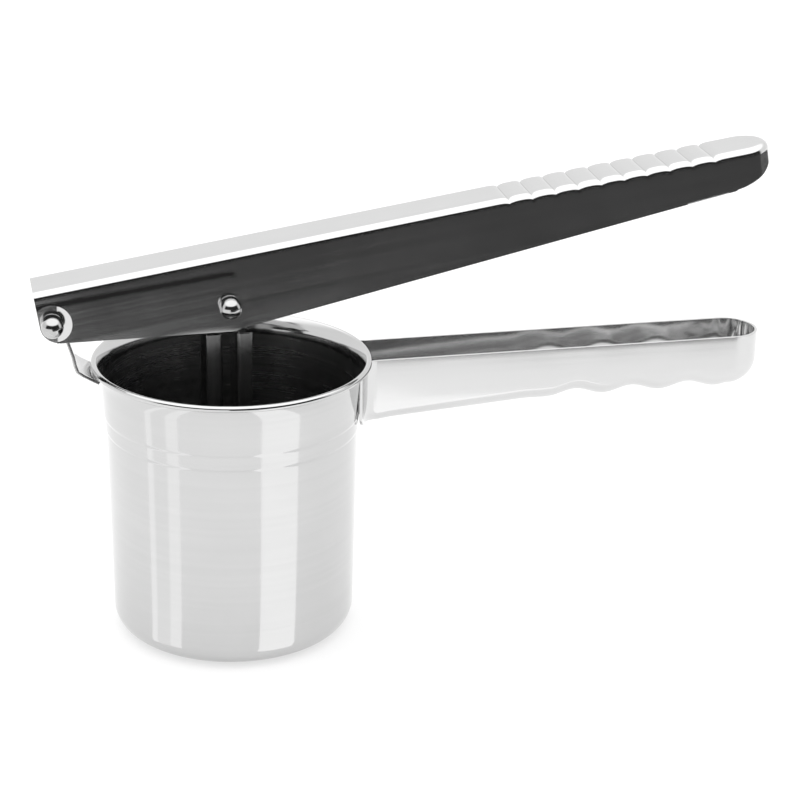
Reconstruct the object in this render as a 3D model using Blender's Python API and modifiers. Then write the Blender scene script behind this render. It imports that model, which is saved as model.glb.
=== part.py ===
"""A potato ricer: a drawn steel cup between a fixed trough handle and a hinged pressing lever.

Run it with: blender --background --python part.py
Metres, +Z up. The origin is the centre of the cup's flat base, and +X runs along the handles.
Every piece is steel sheet or a steel rivet, and each one is a closed solid of its own.
"""

import math

import bmesh
import bpy
from mathutils import Vector

MM = 0.001
GAP = 0.35 * MM  # clearance between pieces that touch or turn on each other
WELD = 0.001 * MM  # vertices closer than this are one

# The cup, by its outer surface. LIP_Z is the plane of the rim.
LIP_Z = 89.5 * MM
LIP_R = 44.3 * MM
NECK_Z = LIP_Z - 5.5 * MM
NECK_R = 41.2 * MM
STEP_TOP_Z = LIP_Z - 16.6 * MM
STEP_TOP_R = 40.6 * MM
STEP_FOOT_Z = LIP_Z - 21.5 * MM
STEP_FOOT_R = 39.8 * MM
FOOT_R = 38.8 * MM
BASE_CORNER_R = 7.0 * MM
CUP_SHEET = 0.8 * MM
CUP_SEGMENTS = 48

# The holes in its base, on a triangular grid with its origin between three holes.
HOLE_R = 1.5 * MM
HOLE_PITCH = 6.4 * MM
HOLE_FIELD_R = 29.0 * MM
HOLE_SIDES = 6

# The fixed handle: a trough, open on top.
HANDLE_HALF_WIDTH = 10.0 * MM
HANDLE_END_X = 174.0 * MM
HANDLE_TOP_Z = LIP_Z + 0.1 * MM
HANDLE_TOP_SLOPE = 0.011
HANDLE_SHEET = 0.9 * MM
HANDLE_CORNER_R = 4.5 * MM
HANDLE_END_CORNER_R = 8.0 * MM
HANDLE_ROOT_DEPTH = 20.9 * MM
HANDLE_DEPTH_TAPER = 0.083
HANDLE_GRIP_X = 101.5 * MM
HANDLE_GRIP_DEPTH = 15.4 * MM
HANDLE_GRIP_TAPER = 0.009
HANDLE_LEVEL_END = 12.0 * MM  # the floor is level over the last part
HANDLE_STATIONS = (60.0 * MM, 80.0 * MM, 97.0 * MM)
HANDLE_FLARE_R = 4.0 * MM
HANDLE_FLANGE = 2.5 * MM
HANDLE_FLARE_BELOW = 0.1  # how much of the side flare the floor has
VALLEY_FIRST_X = 111.0 * MM
VALLEY_PITCH = 19.0 * MM
VALLEY_RISE = 1.0 * MM
VALLEY_STEPS = 6

# The lever, in its own frame: origin on the pivot, x along its flat top, z square to it.
PIVOT = Vector((-56.3 * MM, 0.0, LIP_Z + 17.8 * MM))
LEVER_TILT = math.atan(0.163)
LEVER_TOP = 10.6 * MM
LEVER_HALF_WIDTH = 9.2 * MM
LEVER_SHEET = 1.0 * MM
LEVER_CORNER_R = 2.4 * MM
LEVER_FRONT = -3.7 * MM
LEVER_FRONT_CORNER_R = 5.0 * MM
LEVER_END = 233.6 * MM
LEVER_BEND = 54.0 * MM
LEVER_FRONT_DEPTH = 16.8 * MM
LEVER_BEND_DEPTH = 24.5 * MM
LEVER_END_DEPTH = 12.4 * MM
LEVER_NOSE_DEPTH = 3.6 * MM
LEVER_END_CURVE = 5.0 * MM
LEVER_END_BEND = 1.6
LEVER_STATIONS = (85.0 * MM, 115.0 * MM)
PANEL_RISE = 0.5 * MM
PANEL_FRONT_DEPTH = 3.4 * MM
PANEL_END_DEPTH = 4.9 * MM
PANEL_MIDDLE = 25.0 * MM
PANEL_END = 58.6 * MM
PANEL_BEVEL = 1.0 * MM
NOTCH_FIRST = 146.1 * MM
NOTCH_PITCH = 7.48 * MM
NOTCH_COUNT = 10
NOTCH_HALF_WIDTH = 1.3 * MM
NOTCH_DEPTH = 0.6 * MM

# The rivets, on axes along Y.
PLUNGER_PIN = Vector((-1.8 * MM, 0.0, LIP_Z + 21.1 * MM))
RIVET_SHANK_R = 1.75 * MM
RIVET_HEAD_R = 3.4 * MM
RIVET_HEAD_SIDE = 1.9 * MM
RIVET_HEAD_HEIGHT = 5.1 * MM
RIVET_SEAT = LEVER_HALF_WIDTH + PANEL_RISE + GAP
RIVET_SEGMENTS = 20

# The hinge strap, welded to the cup and rolled into an eye around the pivot rivet.
STRAP_SHEET = 1.1 * MM
STRAP_HALF_WIDTH = 8.2 * MM
STRAP_COLUMNS = 6
EYE_R = RIVET_SHANK_R + GAP + STRAP_SHEET / 2
EYE_START_DEG = 10.0
EYE_SWEEP_DEG = 285.0
EYE_STEPS = 14

# Its middle line from under the lip up to the eye: x, z and how much it follows the cup's curve.
STRAP_LINE = (
    (-(NECK_R + GAP + STRAP_SHEET / 2) - 1.2 * MM, LIP_Z - 2.6 * MM, 0.9),
    (-(NECK_R + GAP + STRAP_SHEET / 2) - 3.4 * MM, LIP_Z - 1.2 * MM, 0.6),
    (-47.4 * MM, LIP_Z + 0.2 * MM, 0.3),
    (-49.0 * MM, LIP_Z + 1.6 * MM, 0.0),
    (-49.7 * MM, LIP_Z + 3.8 * MM, 0.0),
    (-50.2 * MM, LIP_Z + 6.6 * MM, 0.0),
)

# The plunger: a strap looped over its rivet, with flanged legs, and a dished press disc.
STEM_SHEET = 1.0 * MM
STEM_HALF_WIDTH = 7.6 * MM
STEM_LOOP_R = RIVET_SHANK_R + GAP + STEM_SHEET / 2
STEM_FLANGE = 4.6 * MM
STEM_FLANGE_BEND = 0.9 * MM
STEM_FLANGE_FOOT_Z = 9.5 * MM
STEM_MIDDLE_Z = 45.0 * MM
STEM_FLANGE_TOP_Z = LIP_Z + 11.4 * MM
STEM_FOOT = 9.0 * MM
STEM_FOOT_BEND_R = 2.0 * MM
DISC_SHEET = 1.2 * MM
DISC_R = 36.6 * MM
DISC_CORNER_R = 7.0 * MM
DISC_RIM_HEIGHT = 9.5 * MM
DISC_X = -1.0 * MM
DISC_BOTTOM_Z = CUP_SHEET + GAP


# Scene, materials and modifiers


def clear_scene():
    for thing in list(bpy.data.objects):
        bpy.data.objects.remove(thing, do_unlink=True)
    for collection in list(bpy.data.collections):
        bpy.data.collections.remove(collection)


def new_collection(name):
    collection = bpy.data.collections.new(name)
    bpy.context.scene.collection.children.link(collection)
    return collection


def steel(name, colour, roughness):
    material = bpy.data.materials.new(name)
    material.use_nodes = True
    shader = material.node_tree.nodes["Principled BSDF"]
    shader.inputs["Base Color"].default_value = (*colour, 1.0)
    shader.inputs["Metallic"].default_value = 1.0
    shader.inputs["Roughness"].default_value = roughness
    return material


def add_object(name, mesh, collection, material=None):
    thing = bpy.data.objects.new(name, mesh)
    collection.objects.link(thing)
    if material is not None:
        mesh.materials.append(material)
    mesh.shade_smooth()
    mesh.set_sharp_from_angle(angle=math.radians(35.0))
    return thing


def add_screw(thing, segments):
    """Turn a profile once around the Z axis."""
    screw = thing.modifiers.new("turn", "SCREW")
    screw.axis = "Z"
    screw.angle = math.tau
    screw.steps = segments
    screw.render_steps = segments
    screw.use_merge_vertices = True
    screw.merge_threshold = WELD


def add_sheet(thing, thickness):
    """Give an open outer skin its thickness, inwards."""
    solidify = thing.modifiers.new("sheet", "SOLIDIFY")
    solidify.thickness = thickness
    solidify.offset = -1.0
    solidify.use_even_offset = True


def add_mid_sheet(thing, thickness):
    """Give an open middle surface its thickness, half to each side."""
    solidify = thing.modifiers.new("sheet", "SOLIDIFY")
    solidify.thickness = thickness
    solidify.offset = 0.0
    solidify.use_even_offset = True


def add_mirror_y(thing):
    mirror = thing.modifiers.new("other side", "MIRROR")
    mirror.use_axis = (False, True, False)
    mirror.merge_threshold = WELD


def cut(thing, cutter):
    boolean = thing.modifiers.new("cut " + cutter.name, "BOOLEAN")
    boolean.operation = "DIFFERENCE"
    boolean.solver = "EXACT"
    boolean.object = cutter


def hide_cutter(cutter):
    cutter.hide_render = True
    cutter.display_type = "WIRE"
    return cutter


# Geometry helpers


def arc(centre_x, centre_z, radius, start_deg, end_deg, steps):
    """Points on an arc in a plane, by the angle from +x towards +z."""
    points = []
    for i in range(steps + 1):
        angle = math.radians(start_deg + (end_deg - start_deg) * i / steps)
        points.append((centre_x + radius * math.cos(angle), centre_z + radius * math.sin(angle)))
    return points


def profile_mesh(name, points):
    """An open chain of edges in the XZ plane, ready for a Screw modifier."""
    mesh = bpy.data.meshes.new(name)
    vertices = [(x, 0.0, z) for x, z in points]
    edges = [(i, i + 1) for i in range(len(points) - 1)]
    mesh.from_pydata(vertices, edges, [])
    return mesh


def grid_mesh(name, rows, keep=None):
    """A skin over rows of points of equal length, without the faces that keep rejects."""
    shape = bmesh.new()
    made = [[shape.verts.new(point) for point in row] for row in rows]
    for i in range(len(rows) - 1):
        for j in range(len(rows[0]) - 1):
            if keep is None or keep(i, j):
                shape.faces.new((made[i][j], made[i][j + 1], made[i + 1][j + 1], made[i + 1][j]))
    bmesh.ops.remove_doubles(shape, verts=shape.verts, dist=WELD)
    loose = [vertex for vertex in shape.verts if not vertex.link_faces]
    bmesh.ops.delete(shape, geom=loose, context="VERTS")
    mesh = bpy.data.meshes.new(name)
    shape.to_mesh(mesh)
    shape.free()
    return mesh


def pin_cutter(name, radius, collection, length=40.0 * MM):
    """A bar along Y that cuts a rivet's two holes."""
    shape = bmesh.new()
    bmesh.ops.create_cone(
        shape, cap_ends=True, segments=RIVET_SEGMENTS, radius1=radius, radius2=radius, depth=length
    )
    mesh = bpy.data.meshes.new(name)
    shape.to_mesh(mesh)
    shape.free()
    cutter = add_object(name, mesh, collection)
    cutter.rotation_euler = (math.radians(90.0), 0.0, 0.0)
    return hide_cutter(cutter)


# The cup


def cup_profile(offset=0.0):
    """The cup's outer surface from the rim down to the base corner, moved out by offset."""
    flare = 2.0 * math.atan((LIP_R - NECK_R) / (LIP_Z - NECK_Z))
    flare_r = (LIP_Z - NECK_Z) / math.sin(flare)
    rim_deg = 180.0 - math.degrees(flare)
    points = arc(NECK_R + flare_r, NECK_Z, flare_r - offset, rim_deg, 180.0, 5)
    points.append((STEP_TOP_R + offset, STEP_TOP_Z))
    points.append((STEP_FOOT_R + offset, STEP_FOOT_Z))
    corner_x = FOOT_R - BASE_CORNER_R
    points += arc(corner_x, BASE_CORNER_R, BASE_CORNER_R + offset, 0.0, -90.0, 5)
    return points


def hole_centres():
    """Triangular grid points inside the perforated field, with the origin between three of them."""
    centres = []
    reach = int(HOLE_FIELD_R / HOLE_PITCH) + 2
    for row in range(-reach, reach + 1):
        for column in range(-reach, reach + 1):
            x = (row * math.sqrt(3.0) / 2.0 + math.sqrt(3.0) / 6.0) * HOLE_PITCH
            y = (column + row / 2.0 + 0.5) * HOLE_PITCH
            if math.hypot(x, y) <= HOLE_FIELD_R:
                centres.append((x, y))
    return centres


def hole_cutter(collection):
    shape = bmesh.new()
    for x, y in hole_centres():
        made = bmesh.ops.create_cone(
            shape, cap_ends=True, segments=HOLE_SIDES, radius1=HOLE_R, radius2=HOLE_R, depth=6.0 * MM
        )
        bmesh.ops.translate(shape, verts=made["verts"], vec=(x, y, 0.0))
    mesh = bpy.data.meshes.new("base_holes")
    shape.to_mesh(mesh)
    shape.free()
    return hide_cutter(add_object("base_holes", mesh, collection))


def make_cup(parts, cutters):
    points = cup_profile() + [(0.0, 0.0)]
    material = steel("cup_steel", (0.78, 0.78, 0.78), 0.16)
    cup = add_object("cup", profile_mesh("cup", points), parts, material)
    add_screw(cup, CUP_SEGMENTS)
    add_sheet(cup, CUP_SHEET)
    cut(cup, hole_cutter(cutters))
    return cup


def cup_room(collection):
    """The cup as a solid with clearance, which trims what is welded to its outside."""
    points = [(0.0, LIP_Z + 10.0 * MM), (LIP_R, LIP_Z + 10.0 * MM)]
    points += cup_profile(GAP) + [(0.0, -GAP)]
    room = add_object("cup_room", profile_mesh("cup_room", points), collection)
    add_screw(room, CUP_SEGMENTS)
    return hide_cutter(room)


# The fixed handle


def handle_depth(x):
    """How deep the trough is at x, with the finger valleys."""
    if x < HANDLE_GRIP_X:
        return HANDLE_ROOT_DEPTH - HANDLE_DEPTH_TAPER * (x - NECK_R)
    wave = math.cos(math.tau * (x - VALLEY_FIRST_X) / VALLEY_PITCH)
    return HANDLE_GRIP_DEPTH - VALLEY_RISE * wave - HANDLE_GRIP_TAPER * (x - HANDLE_GRIP_X)


def trough_section(x, half_width, corner_r):
    """(outward distance, z) from the middle of the floor to the top of the wall."""
    top = HANDLE_TOP_Z + HANDLE_TOP_SLOPE * x
    floor = HANDLE_TOP_Z - handle_depth(min(x, HANDLE_END_X - HANDLE_LEVEL_END))
    section = [(0.0, floor)]
    section += arc(half_width - corner_r, floor + corner_r, corner_r, -90.0, 0.0, 4)
    section.append((half_width, top))
    return section


def flare_rows():
    """The trough's root, which turns outwards and lies on the cup like a saddle."""
    rows = []
    root_x = NECK_R + GAP + HANDLE_SHEET
    section = trough_section(root_x, HANDLE_HALF_WIDTH, HANDLE_CORNER_R)
    count = len(section)
    steps = 4
    stages = [(HANDLE_FLARE_R + HANDLE_FLANGE, 0.0)]
    for i in range(steps, -1, -1):
        angle = math.radians(90.0 * i / steps)
        stages.append((HANDLE_FLARE_R * (1.0 - math.cos(angle)), HANDLE_FLARE_R * (1.0 - math.sin(angle))))
    for outward, away in stages:
        row = []
        for j, (distance, z) in enumerate(section):
            turn = math.radians(90.0 * min(max(j - 1, 0), count - 3) / (count - 3))
            y = distance + outward * math.sin(turn)
            low_z = z - HANDLE_FLARE_BELOW * outward * math.cos(turn)
            x = math.sqrt(root_x**2 - y**2) + away
            row.append((x, -y, low_z))
        rows.append(row)
    return rows


def handle_rows():
    rows = flare_rows()
    grip_end = HANDLE_END_X - HANDLE_HALF_WIDTH
    stations = list(HANDLE_STATIONS)
    step = VALLEY_PITCH / VALLEY_STEPS
    count = int((grip_end - HANDLE_GRIP_X) / step)
    stations += [HANDLE_GRIP_X + i * step for i in range(count + 1)]
    for x in stations:
        section = trough_section(x, HANDLE_HALF_WIDTH, HANDLE_CORNER_R)
        rows.append([(x, -distance, z) for distance, z in section])
    end_steps = 6
    for i in range(end_steps + 1):
        turn = math.radians(90.0 * i / end_steps)
        corner_r = HANDLE_CORNER_R + (HANDLE_END_CORNER_R - HANDLE_CORNER_R) * math.sin(turn)
        section = trough_section(grip_end, HANDLE_HALF_WIDTH, corner_r)
        row = []
        for distance, z in section:
            row.append((grip_end + distance * math.sin(turn), -distance * math.cos(turn), z))
        rows.append(row)
    return rows


def make_lower_handle(parts, room):
    rows = [list(reversed(row)) for row in handle_rows()]
    mesh = grid_mesh("lower_handle", rows)
    handle = add_object("lower_handle", mesh, parts, steel("handle_steel", (0.78, 0.78, 0.78), 0.16))
    add_mirror_y(handle)
    add_sheet(handle, HANDLE_SHEET)
    cut(handle, room)
    return handle


# The lever


def lever_wall_depth(x):
    """How far the side wall hangs below the lever's flat top at x."""
    if x < LEVER_BEND:
        depth = LEVER_FRONT_DEPTH + (LEVER_BEND_DEPTH - LEVER_FRONT_DEPTH) * x / LEVER_BEND
        into_corner = max(0.0, LEVER_FRONT + LEVER_FRONT_CORNER_R - x)
        rise = LEVER_FRONT_CORNER_R - math.sqrt(max(0.0, LEVER_FRONT_CORNER_R**2 - into_corner**2))
        return depth - rise
    end_centre = LEVER_END - LEVER_HALF_WIDTH
    share = (x - LEVER_BEND) / (end_centre - LEVER_BEND)
    straight = LEVER_BEND_DEPTH + (LEVER_END_DEPTH - LEVER_BEND_DEPTH) * share
    into_curve = x - (end_centre - LEVER_END_CURVE)
    return min(straight, lever_end_depth(into_curve)) if into_curve > 0.0 else straight


def lever_end_depth(along):
    """The wall's depth around the closed end, by the distance along the wall into its rising curve."""
    whole = LEVER_END_CURVE + LEVER_HALF_WIDTH * math.radians(90.0)
    return LEVER_END_DEPTH + (LEVER_NOSE_DEPTH - LEVER_END_DEPTH) * (along / whole) ** LEVER_END_BEND


def notch_at(x):
    """How far the grip notches press the top's corners in at x."""
    nearest = round((x - NOTCH_FIRST) / NOTCH_PITCH)
    if nearest < 0 or nearest >= NOTCH_COUNT:
        return 0.0
    away = abs(x - NOTCH_FIRST - nearest * NOTCH_PITCH)
    return NOTCH_DEPTH * max(0.0, 1.0 - away / NOTCH_HALF_WIDTH)


def lever_section(x, wall_depth, notch, panel):
    """(outward distance, z) from the middle of the top to the foot of the wall."""
    corner = LEVER_HALF_WIDTH - LEVER_CORNER_R
    section = [(0.0, LEVER_TOP)]
    for angle_deg in (90.0, 60.0, 30.0, 0.0):
        angle = math.radians(angle_deg)
        radius = LEVER_CORNER_R - notch
        height = LEVER_TOP - LEVER_CORNER_R + radius * math.sin(angle)
        section.append((corner + radius * math.cos(angle), height))
    panel_share = min(max(x / PANEL_END, 0.0), 1.0)
    panel_top = PANEL_FRONT_DEPTH + (PANEL_END_DEPTH - PANEL_FRONT_DEPTH) * panel_share
    rise = PANEL_RISE * panel
    third = (wall_depth - LEVER_CORNER_R) / 3.0
    above = min(panel_top, LEVER_CORNER_R + third)
    below = min(panel_top + PANEL_BEVEL, LEVER_CORNER_R + 2.0 * third)
    section.append((LEVER_HALF_WIDTH, LEVER_TOP - above))
    section.append((LEVER_HALF_WIDTH + rise, LEVER_TOP - below))
    section.append((LEVER_HALF_WIDTH + rise, LEVER_TOP - wall_depth))
    return section


def lever_stations():
    """x and how much of the panel's rise is there, along the straight part."""
    corner_steps = 4
    stations = []
    for i in range(corner_steps + 1):
        turn = math.radians(90.0 * i / corner_steps)
        stations.append((LEVER_FRONT + LEVER_FRONT_CORNER_R * (1.0 - math.cos(turn)), 1.0))
    stations += [(PANEL_MIDDLE, 1.0), (LEVER_BEND, 1.0)]
    stations += [(PANEL_END - PANEL_BEVEL, 1.0), (PANEL_END, 0.0)]
    stations += [(x, 0.0) for x in LEVER_STATIONS]
    for i in range(NOTCH_COUNT):
        centre = NOTCH_FIRST + i * NOTCH_PITCH
        stations += [(centre - NOTCH_HALF_WIDTH, 0.0), (centre, 0.0), (centre + NOTCH_HALF_WIDTH, 0.0)]
    return stations


def lever_rows():
    rows = []
    for x, panel in lever_stations():
        section = lever_section(x, lever_wall_depth(x), notch_at(x), panel)
        rows.append([(x, -distance, z) for distance, z in section])
    end_centre = LEVER_END - LEVER_HALF_WIDTH
    end_steps = 6
    for i in range(end_steps + 1):
        turn = math.radians(90.0 * i / end_steps)
        depth = lever_end_depth(LEVER_END_CURVE + LEVER_HALF_WIDTH * turn)
        section = lever_section(end_centre, depth, 0.0, 0.0)
        row = []
        for distance, z in section:
            row.append((end_centre + distance * math.sin(turn), -distance * math.cos(turn), z))
        rows.append(row)
    return rows


def lever_hole(name, place, collection):
    cutter = pin_cutter(name, RIVET_SHANK_R + GAP, collection)
    cutter.location = place
    return cutter


def make_lever(parts, cutters):
    mesh = grid_mesh("lever", lever_rows())
    lever = add_object("lever", mesh, parts, steel("lever_steel", (0.72, 0.72, 0.72), 0.16))
    lever.location = PIVOT
    lever.rotation_euler = (0.0, -LEVER_TILT, 0.0)
    add_mirror_y(lever)
    add_sheet(lever, LEVER_SHEET)
    cut(lever, lever_hole("pivot_hole", PIVOT, cutters))
    cut(lever, lever_hole("plunger_hole", PLUNGER_PIN, cutters))
    return lever


# The rivets


def make_rivet(name, place, parts):
    """A shank with a domed head at each end, turned about the Y axis."""
    dome_height = RIVET_HEAD_HEIGHT - RIVET_HEAD_SIDE
    tip = RIVET_SEAT + RIVET_HEAD_HEIGHT
    half = []
    for i in range(5):
        angle = math.radians(90.0 - 90.0 * i / 4)
        half.append((RIVET_HEAD_R * math.cos(angle), tip - dome_height + dome_height * math.sin(angle)))
    half += [(RIVET_HEAD_R, RIVET_SEAT), (RIVET_SHANK_R, RIVET_SEAT)]
    points = half + [(radius, -height) for radius, height in reversed(half)]
    material = steel(name + "_steel", (0.8, 0.8, 0.8), 0.12)
    rivet = add_object(name, profile_mesh(name, points), parts, material)
    add_screw(rivet, RIVET_SEGMENTS)
    rivet.location = place
    rivet.rotation_euler = (math.radians(90.0), 0.0, 0.0)
    return rivet


# The hinge strap


def strap_path():
    """The strap's middle line, from its foot under the lip and around the eye."""
    path = list(STRAP_LINE)
    for x, z in arc(PIVOT.x, PIVOT.z, EYE_R, EYE_START_DEG, EYE_START_DEG + EYE_SWEEP_DEG, EYE_STEPS):
        path.append((x, z, 0.0))
    return path


def make_hinge_strap(parts, room):
    rows = []
    for x, z, wrap in strap_path():
        row = []
        for j in range(STRAP_COLUMNS + 1):
            y = STRAP_HALF_WIDTH * (2.0 * j / STRAP_COLUMNS - 1.0)
            sag = NECK_R - math.sqrt(NECK_R**2 - y**2)
            row.append((x + wrap * sag, y, z))
        rows.append(row)
    mesh = grid_mesh("hinge_strap", rows)
    strap = add_object("hinge_strap", mesh, parts, steel("strap_steel", (0.76, 0.76, 0.76), 0.18))
    add_mid_sheet(strap, STRAP_SHEET)
    cut(strap, room)
    return strap


# The plunger


def stem_path():
    """The stem's middle line from one foot, over the rivet, to the other foot."""
    floor_z = DISC_BOTTOM_Z + DISC_SHEET + GAP + STEM_SHEET / 2
    bend = STEM_FOOT_BEND_R
    left = PLUNGER_PIN.x - STEM_LOOP_R
    half = [(left - bend - STEM_FOOT, floor_z)]
    half += arc(left - bend, floor_z + bend, bend, -90.0, 0.0, 3)
    half += [(left, STEM_FLANGE_FOOT_Z), (left, STEM_MIDDLE_Z), (left, STEM_FLANGE_TOP_Z)]
    half += arc(PLUNGER_PIN.x, PLUNGER_PIN.z, STEM_LOOP_R, 180.0, 90.0, 5)
    other = [(2.0 * PLUNGER_PIN.x - x, z) for x, z in reversed(half[:-1])]
    return half + other


def stem_row(x, z, side):
    """One row across the stem: flange, web and flange. The flanges point away from the rivet."""
    flange_x = x + side * STEM_FLANGE
    lip_x = x + side * STEM_FLANGE_BEND
    bend_y = STEM_HALF_WIDTH - STEM_FLANGE_BEND
    left = [(flange_x, -STEM_HALF_WIDTH, z), (lip_x, -STEM_HALF_WIDTH, z), (x, -bend_y, z)]
    right = [(point_x, -y, point_z) for point_x, y, point_z in reversed(left)]
    return left + [(x, 0.0, z)] + right


def make_plunger_strap(parts):
    path = stem_path()
    rows = []
    for x, z in path:
        side = -1.0 if x < PLUNGER_PIN.x else 1.0
        rows.append(stem_row(x, z, side))

    def keep(i, j):
        heights = (path[i][1], path[i + 1][1])
        on_leg = min(heights) > STEM_FLANGE_FOOT_Z - WELD and max(heights) < STEM_FLANGE_TOP_Z + WELD
        is_web = 2 <= j <= 3
        return is_web or on_leg

    mesh = grid_mesh("plunger_strap", rows, keep)
    strap = add_object("plunger_strap", mesh, parts, steel("stem_steel", (0.7, 0.7, 0.7), 0.2))
    add_mid_sheet(strap, STEM_SHEET)
    return strap


def make_plunger_disc(parts):
    corner = DISC_R - DISC_CORNER_R
    points = [(DISC_R, DISC_RIM_HEIGHT)]
    points += arc(corner, DISC_CORNER_R, DISC_CORNER_R, 0.0, -90.0, 4) + [(0.0, 0.0)]
    mesh = profile_mesh("plunger_disc", points)
    disc = add_object("plunger_disc", mesh, parts, steel("disc_steel", (0.7, 0.7, 0.7), 0.2))
    add_screw(disc, CUP_SEGMENTS)
    add_sheet(disc, DISC_SHEET)
    disc.location = (DISC_X, 0.0, DISC_BOTTOM_Z)
    return disc


def main():
    clear_scene()
    parts = new_collection("potato_ricer")
    cutters = new_collection("cutters")
    room = cup_room(cutters)
    make_cup(parts, cutters)
    make_lower_handle(parts, room)
    make_hinge_strap(parts, room)
    make_lever(parts, cutters)
    make_rivet("pivot_rivet", PIVOT, parts)
    make_rivet("plunger_rivet", PLUNGER_PIN, parts)
    make_plunger_strap(parts)
    make_plunger_disc(parts)


main()
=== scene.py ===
"""The looks of the potato ricer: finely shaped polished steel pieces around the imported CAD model.

Metres, +Z up, in the CAD model's own frame: the origin is the centre of the cup's flat base, and
+X runs along the handles. Each CAD node is replaced by a finer piece with the same dimensions.
"""

import math

import bmesh
import bpy
from mathutils import Matrix, Vector

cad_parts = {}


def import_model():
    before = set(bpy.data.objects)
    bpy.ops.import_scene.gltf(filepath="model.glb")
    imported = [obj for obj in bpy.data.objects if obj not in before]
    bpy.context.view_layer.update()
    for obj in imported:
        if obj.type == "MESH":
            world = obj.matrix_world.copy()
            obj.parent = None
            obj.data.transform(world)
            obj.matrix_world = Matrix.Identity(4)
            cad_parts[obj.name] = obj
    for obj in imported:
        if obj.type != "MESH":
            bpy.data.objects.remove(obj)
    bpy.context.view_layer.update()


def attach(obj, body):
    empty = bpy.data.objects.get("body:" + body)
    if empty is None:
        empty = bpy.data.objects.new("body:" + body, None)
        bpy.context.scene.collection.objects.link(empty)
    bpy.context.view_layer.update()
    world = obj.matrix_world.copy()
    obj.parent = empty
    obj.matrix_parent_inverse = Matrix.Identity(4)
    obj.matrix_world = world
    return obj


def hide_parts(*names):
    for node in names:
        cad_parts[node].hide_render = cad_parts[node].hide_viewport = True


MM = 0.001
WELD = 0.001 * MM
FIT = 0.05 * MM  # how close a welded piece lies to the cup
SHARP = math.radians(24.0)
EDGE_ROUND = 0.25 * MM
STRAP_EDGE_ROUND = 0.2 * MM
PIN_GAP = 0.35 * MM  # between a rivet's shank and the strap rolled around it
WELD_GAP = 0.35 * MM  # between two pieces that are spot-welded together
PAST_SURFACE = 2.0 * MM  # how far a cutter reaches out of what it cuts

# The camera: where it looks, from which side and how far away.
CAMERA_TARGET = Vector((54.5 * MM, 0.0, 72.4 * MM))
CAMERA_AZIMUTH = math.radians(-12.27)
CAMERA_ELEVATION = math.radians(21.2)
CAMERA_ROLL = math.radians(1.12)
CAMERA_DISTANCE = 741.0 * MM
CAMERA_LENS = 103.3

# The cup. LIP_Z is the plane of its rim, which is rolled into a bead.
LIP_Z = 89.5 * MM
LIP_R = 44.3 * MM
BEAD_R = 1.0 * MM
NECK_Z = LIP_Z - 5.5 * MM
NECK_R = 41.2 * MM
STEP_TOP_Z = LIP_Z - 16.6 * MM
STEP_TOP_R = 40.6 * MM
STEP_FOOT_Z = LIP_Z - 21.5 * MM
STEP_FOOT_R = 39.8 * MM
STEP_DROP = 0.3 * MM
STEP_DROP_HEIGHT = 1.2 * MM
FOOT_R = 38.8 * MM
BASE_CORNER_R = 7.0 * MM
CUP_SHEET = 0.8 * MM
BASE_FLAT_SHARE = 0.95  # the base's flat middle, as a share of where its corner starts
CUP_SEGMENTS = 192
ROOM_ABOVE_LIP = 10.0 * MM

# The holes in its base, on a triangular grid with its origin between three holes.
HOLE_R = 1.5 * MM
HOLE_PITCH = 6.4 * MM
HOLE_FIELD_R = 29.0 * MM
HOLE_SIDES = 20
HOLE_CUTTER_LENGTH = 6.0 * MM

# The fixed handle: a trough, open on top.
HANDLE_HALF_WIDTH = 10.0 * MM
HANDLE_END_X = 174.0 * MM
HANDLE_TOP_Z = LIP_Z + 0.1 * MM
HANDLE_TOP_SLOPE = 0.011
HANDLE_SHEET = 0.9 * MM
HANDLE_CORNER_R = 4.5 * MM
HANDLE_END_CORNER_R = 8.0 * MM
HANDLE_ROOT_DEPTH = 20.9 * MM
HANDLE_DEPTH_TAPER = 0.083
HANDLE_STRAIGHT_X = 50.0 * MM
HANDLE_GRIP_X = 101.5 * MM
HANDLE_GRIP_DEPTH = 15.4 * MM
HANDLE_GRIP_EASE = 9.0 * MM
HANDLE_GRIP_TAPER = 0.009
HANDLE_LEVEL_END = 12.0 * MM
HANDLE_FLARE_R = 4.0 * MM
HANDLE_FLANGE = 2.5 * MM
HANDLE_FLARE_BELOW = 0.1  # how much of the side flare the floor has
VALLEY_FIRST_X = 111.0 * MM
VALLEY_PITCH = 19.0 * MM
VALLEY_RISE = 1.0 * MM

# The lever, in its own frame: origin on the pivot, x along its flat top, z square to it.
PIVOT = Vector((-56.3 * MM, 0.0, LIP_Z + 17.8 * MM))
LEVER_TILT = math.atan(0.163)
LEVER_TOP = 10.6 * MM
LEVER_HALF_WIDTH = 9.2 * MM
LEVER_SHEET = 1.0 * MM
LEVER_CORNER_R = 2.4 * MM
LEVER_FRONT = -3.7 * MM
LEVER_FRONT_CORNER_R = 5.0 * MM
LEVER_END = 233.6 * MM
LEVER_BEND = 54.0 * MM
LEVER_FRONT_DEPTH = 16.8 * MM
LEVER_BEND_DEPTH = 24.5 * MM
LEVER_END_DEPTH = 12.4 * MM
LEVER_NOSE_DEPTH = 3.6 * MM
LEVER_END_CURVE = 5.0 * MM
LEVER_END_BEND = 1.6
LEVER_EVEN_DEPTH = 7.4 * MM  # down to here the side wall's rows are evenly spaced
LEVER_EVEN_SHARE = 0.75  # and never further down the wall than this
PANEL_RISE = 0.5 * MM  # the CAD model's, which the rivets' seats follow
PANEL_SHOWN_RISE = 0.4 * MM
PANEL_FRONT_DEPTH = 3.4 * MM
PANEL_END_DEPTH = 4.9 * MM
PANEL_END = 58.6 * MM
PANEL_BEVEL = 2.2 * MM
PANEL_CORNER_R = 3.0 * MM
PANEL_MARGIN = 0.3 * MM
NOTCH_FIRST = 146.1 * MM
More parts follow.
